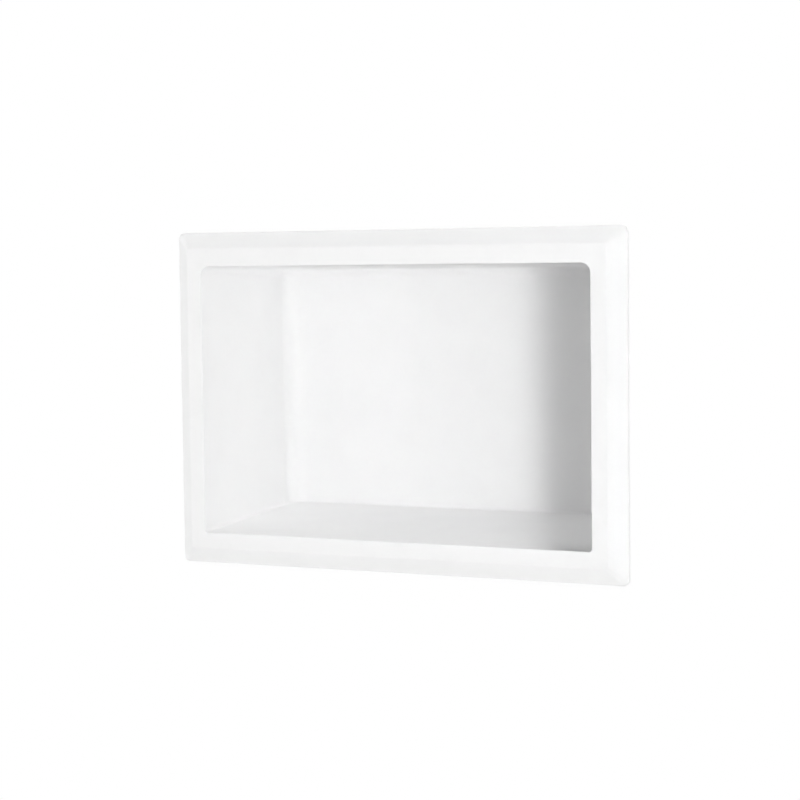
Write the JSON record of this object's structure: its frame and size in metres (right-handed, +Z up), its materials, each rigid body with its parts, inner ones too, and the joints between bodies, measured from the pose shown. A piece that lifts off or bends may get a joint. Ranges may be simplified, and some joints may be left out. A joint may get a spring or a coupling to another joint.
{
  "type": "shower niche insert",
  "caption": "Recessed white shower niche insert: open rectangular box with a sloped picture-frame flange that laps the wall, drafted sides and a floor that falls to the front.",
  "frame": {"origin": "centre of the flange's outline, on the wall plane that the back of the flange lies on", "axes": "+X to the right seen from the room, +Y into the wall, +Z up; the flange face and the opening face -Y"},
  "size_m": [0.273, 0.107, 0.1906],
  "materials": {
    "cast_polymer": "matte white, solid mineral-filled polymer, same colour all through"
  },
  "bodies": {
    "root": {"niche_body": "cast_polymer"}
  },
  "joints": []
}
